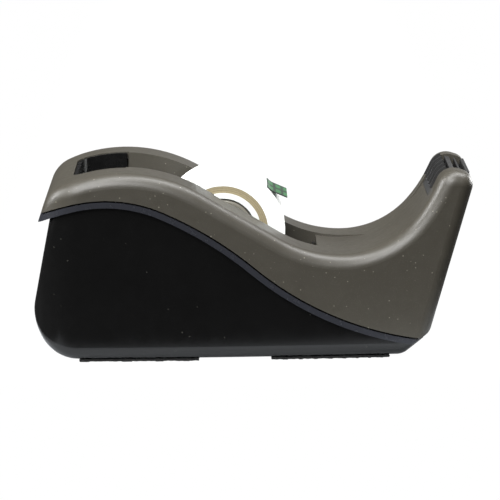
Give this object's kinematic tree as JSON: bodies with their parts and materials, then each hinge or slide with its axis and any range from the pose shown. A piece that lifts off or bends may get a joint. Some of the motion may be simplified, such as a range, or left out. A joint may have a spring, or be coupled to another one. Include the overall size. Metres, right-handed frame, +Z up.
{
  "type": "tape dispenser",
  "caption": "Weighted desktop tape dispenser: curved two-part housing, open well with a tape roll on a lift-out axle, ribbed cutter tower and foam feet.",
  "frame": {"origin": "centre of the bounding box at the undersides of the foam pads", "axes": "+X towards the cutter, +Z up, Y across along the tape axle"},
  "size_m": [0.1478, 0.068, 0.0643],
  "materials": {
    "cover_plastic": "satin, flecked with pale specks",
    "trim_plastic": "satin",
    "base_plastic": "polished",
    "ballast": "rough cast",
    "screw_steel": "plain",
    "foam": "matte open foam",
    "insert_plastic": "satin",
    "blade_steel": "brushed",
    "axle_plastic": "satin",
    "hub_plastic": "smooth",
    "cap_plastic": "satin",
    "core_board": "plain",
    "tape_film": "frosted",
    "tab_paper": "printed check"
  },
  "bodies": {
    "housing": {"top_cover": "cover_plastic", "base_shell": "base_plastic", "trim_band": "trim_plastic", "well_tray": "base_plastic", "ballast_block": "ballast", "cover_screws": "screw_steel", "rear_pad": "foam", "front_pad": "foam", "cutter_holder": "insert_plastic", "cutter_blade": "blade_steel"},
    "axle": {"axle_rod": "axle_plastic"},
    "roll": {"hub_wheel": "hub_plastic", "hub_cap_left": "cap_plastic", "hub_cap_right": "cap_plastic", "tape_core": "core_board", "tape_roll": "tape_film", "tape_tab": "tab_paper"}
  },
  "joints": [
    {"name": "roll_lift", "type": "slide", "parent": "housing", "child": "axle", "axis": [0, 0, 1], "range_m": [0, 0.06]},
    {"name": "roll_spin", "type": "hinge", "parent": "axle", "child": "roll", "pos_m": [-0.01, 0, 0.0413], "axis": [0, 1, 0], "continuous": true}
  ]
}
